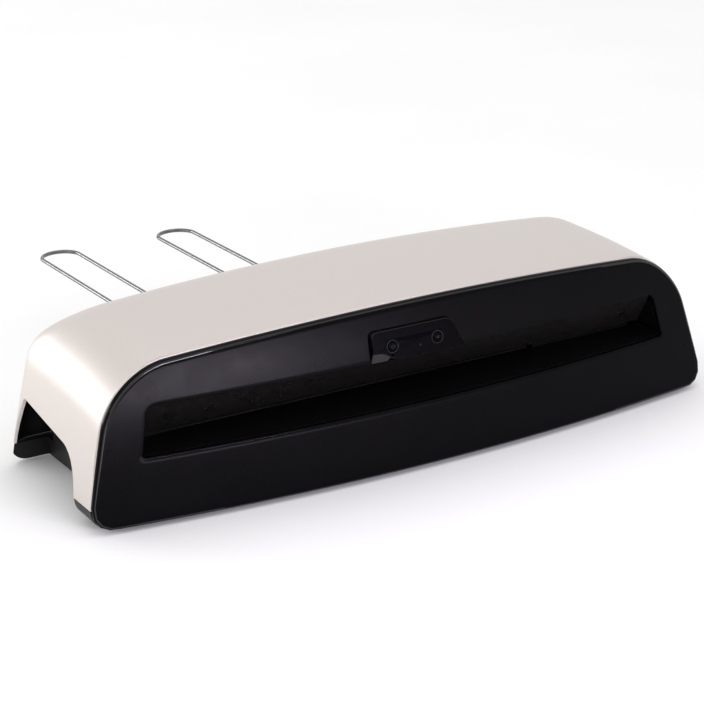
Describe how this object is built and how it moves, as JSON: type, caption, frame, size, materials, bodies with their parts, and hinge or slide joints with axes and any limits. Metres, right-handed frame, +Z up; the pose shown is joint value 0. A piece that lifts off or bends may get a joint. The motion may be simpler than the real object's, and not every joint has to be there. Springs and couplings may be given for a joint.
{
  "type": "pouch laminator",
  "caption": "Desktop pouch laminator for A3 sheets with a silver shell, gloss black bowed front, geared rollers, two buttons and folding rear wire supports.",
  "frame": {"origin": "on the table under the middle of the whole box, wire supports included", "axes": "+X to the right along the machine as seen from its front, +Y to the rear along the feed, +Z up"},
  "size_m": [0.5414, 0.5056, 0.1368],
  "materials": {
    "shell_silver": "satin silver-grey metallic paint on a moulded shell",
    "fascia_black": "high-gloss black",
    "base_black": "satin moulded black",
    "light_ring": "translucent light guide",
    "rubber": "matt black rubber",
    "chrome_wire": "bright nickel-plated wire",
    "zinc_steel": "zinc-plated sheet and bright steel",
    "aluminium": "plain extruded aluminium",
    "silicone": "red-brown heat-resistant silicone",
    "acetal": "natural white acetal",
    "circuit_board": "green solder mask"
  },
  "bodies": {
    "casing": {"top_shell": "shell_silver", "front_fascia": "fascia_black", "control_pod": "fascia_black", "base_tray": "base_black", "front_guide_lower": "base_black", "front_guide_upper": "base_black", "rear_cover": "base_black", "rear_guide_lower": "base_black", "rear_guide_upper": "base_black", "wire_clip_left": "base_black", "wire_clip_right": "base_black", "power_light_ring": "light_ring", "mode_light_ring": "light_ring", "cord_gland": "rubber", "rubber_foot_front_left": "rubber", "rubber_foot_front_right": "rubber", "rubber_foot_rear_left": "rubber", "rubber_foot_rear_right": "rubber", "chassis_plate_left": "zinc_steel", "chassis_plate_right": "zinc_steel", "cross_rail_lower": "zinc_steel", "cross_rail_upper": "zinc_steel", "motor_bracket": "zinc_steel", "gear_motor": "zinc_steel", "pressure_spring_front_left": "zinc_steel", "pressure_spring_front_right": "zinc_steel", "pressure_spring_rear_left": "zinc_steel", "pressure_spring_rear_right": "zinc_steel", "heater_plate_upper": "aluminium", "heater_plate_lower": "aluminium", "thermostat": "aluminium", "front_bush_lower_left": "acetal", "front_bush_lower_right": "acetal", "front_bush_upper_left": "acetal", "front_bush_upper_right": "acetal", "rear_bush_lower_left": "acetal", "rear_bush_lower_right": "acetal", "rear_bush_upper_left": "acetal", "rear_bush_upper_right": "acetal", "power_board": "circuit_board", "button_board": "circuit_board"},
    "power_button": {"power_button": "fascia_black"},
    "mode_button": {"mode_button": "fascia_black"},
    "power_switch": {"power_switch": "base_black"},
    "wire_support_left": {"wire_support_left": "chrome_wire"},
    "wire_support_right": {"wire_support_right": "chrome_wire"},
    "idler_gear": {"idler_gear": "acetal"},
    "motor_pinion": {"motor_pinion": "zinc_steel"},
    "front_lower_roller": {"front_roller_lower": "silicone", "front_shaft_lower": "zinc_steel", "front_gear_lower": "acetal"},
    "front_upper_roller": {"front_roller_upper": "silicone", "front_shaft_upper": "zinc_steel", "front_gear_upper": "acetal"},
    "rear_lower_roller": {"rear_roller_lower": "silicone", "rear_shaft_lower": "zinc_steel", "rear_gear_lower": "acetal"},
    "rear_upper_roller": {"rear_roller_upper": "silicone", "rear_shaft_upper": "zinc_steel", "rear_gear_upper": "acetal"}
  },
  "joints": [
    {"name": "power_press", "type": "slide", "parent": "casing", "child": "power_button", "axis": [0, 0.9912, -0.1322], "range_m": [0, 0.001], "stiffness_N_per_m": 400, "springref_m": -0.001},
    {"name": "mode_press", "type": "slide", "parent": "casing", "child": "mode_button", "axis": [0, 0.9912, -0.1322], "range_m": [0, 0.001], "stiffness_N_per_m": 400, "springref_m": -0.001},
    {"name": "switch_rock", "type": "hinge", "parent": "casing", "child": "power_switch", "pos_m": [0.178, -0.06123, 0.042], "axis": [1, 0, 0], "range_deg": [0, 14]},
    {"name": "wire_left_fold", "type": "hinge", "parent": "casing", "child": "wire_support_left", "pos_m": [-0.092, -0.05223, 0.06], "axis": [1, 0, 0], "range_deg": [0, 90]},
    {"name": "wire_right_fold", "type": "hinge", "parent": "casing", "child": "wire_support_right", "pos_m": [0.024, -0.05223, 0.06], "axis": [1, 0, 0], "range_deg": [0, 90]},
    {"name": "front_lower_spin", "type": "hinge", "parent": "casing", "child": "front_lower_roller", "pos_m": [0, -0.15323, 0.045], "axis": [1, 0, 0], "continuous": true},
    {"name": "front_upper_spin", "type": "hinge", "parent": "casing", "child": "front_upper_roller", "pos_m": [0, -0.15323, 0.065], "axis": [1, 0, 0], "continuous": true},
    {"name": "rear_lower_spin", "type": "hinge", "parent": "casing", "child": "rear_lower_roller", "pos_m": [0, -0.11323, 0.045], "axis": [1, 0, 0], "continuous": true},
    {"name": "rear_upper_spin", "type": "hinge", "parent": "casing", "child": "rear_upper_roller", "pos_m": [0, -0.11323, 0.065], "axis": [1, 0, 0], "continuous": true},
    {"name": "idler_spin", "type": "hinge", "parent": "casing", "child": "idler_gear", "pos_m": [0, -0.13323, 0.045], "axis": [1, 0, 0], "continuous": true},
    {"name": "pinion_spin", "type": "hinge", "parent": "casing", "child": "motor_pinion", "pos_m": [0, -0.13323, 0.062], "axis": [1, 0, 0], "continuous": true}
  ],
  "couplings": [
    {"joint": "front_upper_spin", "follows": "front_lower_spin", "ratio": -1},
    {"joint": "idler_spin", "follows": "front_lower_spin", "ratio": -1},
    {"joint": "rear_lower_spin", "follows": "front_lower_spin", "ratio": 1},
    {"joint": "rear_upper_spin", "follows": "front_lower_spin", "ratio": -1},
    {"joint": "pinion_spin", "follows": "front_lower_spin", "ratio": 1.4286}
  ]
}
